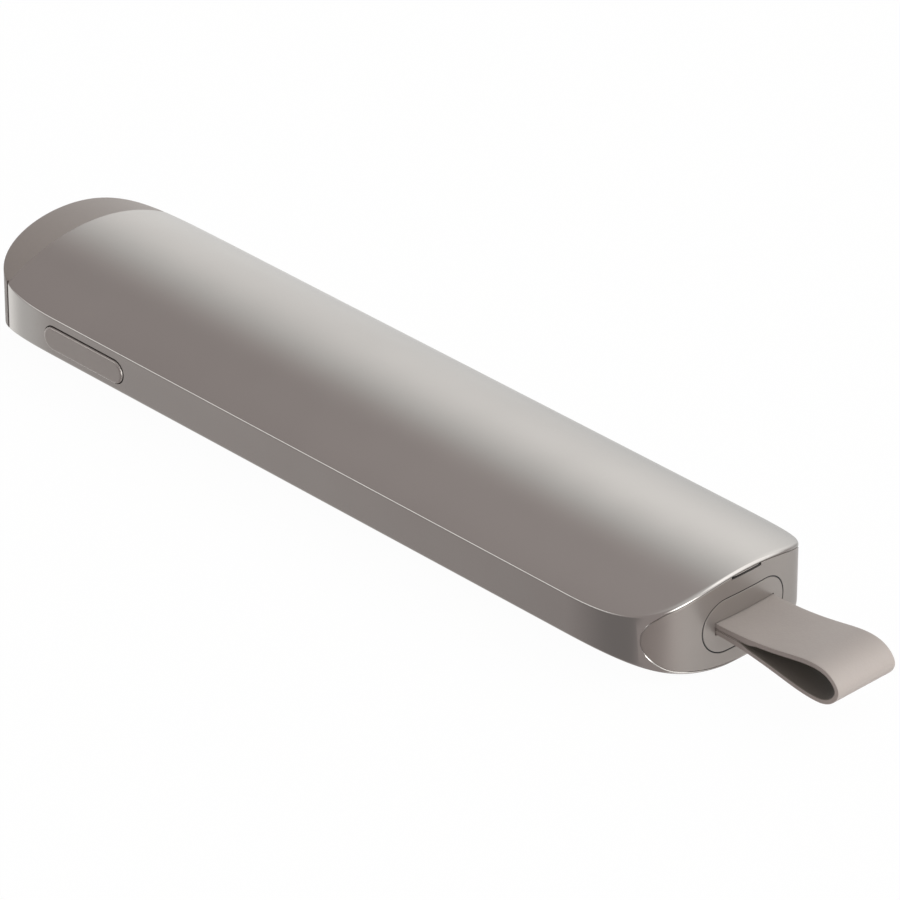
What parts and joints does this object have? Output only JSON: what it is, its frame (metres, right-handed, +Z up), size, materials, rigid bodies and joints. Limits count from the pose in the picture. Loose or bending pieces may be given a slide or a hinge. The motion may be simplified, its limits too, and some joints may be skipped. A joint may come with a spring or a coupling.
{
  "type": "wireless presentation clicker",
  "caption": "Slim hand-held presentation remote with a domed metal back, face and side push buttons, and a plug-in receiver with a strap loop that pulls out of the end.",
  "frame": {"origin": "middle of the body on the flat strip along the button side that it lies on", "axes": "+X along the body towards the strap, -X the pointing tip, +Z up out of the domed back, the side button on -Y"},
  "size_m": [0.1452, 0.0303, 0.013],
  "materials": {
    "housing_metal": "satin warm grey metallic",
    "cover_metal": "fine matte",
    "cap_plastic": "matte",
    "plate_metal": "fine matte",
    "button_plastic": "soft matte",
    "dark_lens": "polished, dark",
    "clear_lens": "polished",
    "brass": "turned",
    "steel": "bright",
    "board": "solder mask",
    "black_plastic": "moulded",
    "frame_plastic": "moulded",
    "foam": "soft foam",
    "foil": "soft foil",
    "flex": "thin film",
    "strap": "smooth, matt"
  },
  "bodies": {
    "body": {"back_housing": "housing_metal", "front_cover": "cover_metal", "tip_cap": "cap_plastic", "tip_window": "dark_lens", "tail_plate": "plate_metal", "laser_holder": "brass", "laser_lens": "clear_lens", "laser_diode": "steel", "laser_board": "board", "button_switches": "black_plastic", "side_switch": "black_plastic", "main_board": "board", "board_screws": "steel", "radio_chip": "black_plastic", "radio_shield": "steel", "power_chip": "black_plastic", "vibration_motor": "steel", "antenna": "steel", "battery_pad": "foam", "battery": "foil", "battery_tabs": "steel", "middle_frame": "frame_plastic", "receiver_sleeve": "frame_plastic", "retaining_springs": "steel", "charge_socket": "steel", "charge_tongue": "black_plastic", "light_pipe": "dark_lens", "led_flex": "flex", "status_led": "clear_lens"},
    "receiver": {"receiver_cap": "plate_metal", "strap_pin": "steel", "plug_shell": "steel", "receiver_board": "board", "plug_tongue": "black_plastic", "plug_contacts": "brass", "wrist_strap": "strap"},
    "pointer_button": {"pointer_button": "button_plastic", "pointer_stem": "black_plastic"},
    "next_button": {"next_button": "button_plastic", "next_stem": "black_plastic"},
    "back_button": {"back_button": "button_plastic", "back_stem": "black_plastic"},
    "side_button": {"side_button": "housing_metal", "side_stem": "black_plastic"}
  },
  "joints": [
    {"name": "receiver_pull", "type": "slide", "parent": "body", "child": "receiver", "axis": [1, 0, 0], "range_m": [0, 0.025]},
    {"name": "pointer_press", "type": "slide", "parent": "body", "child": "pointer_button", "axis": [0, 0, 1], "range_m": [0, 0.0004], "stiffness_N_per_m": 4000},
    {"name": "next_press", "type": "slide", "parent": "body", "child": "next_button", "axis": [0, 0, 1], "range_m": [0, 0.0004], "stiffness_N_per_m": 4000},
    {"name": "back_press", "type": "slide", "parent": "body", "child": "back_button", "axis": [0, 0, 1], "range_m": [0, 0.0004], "stiffness_N_per_m": 4000},
    {"name": "side_press", "type": "slide", "parent": "body", "child": "side_button", "axis": [0, 1, 0], "range_m": [0, 0.00035], "stiffness_N_per_m": 4500}
  ]
}
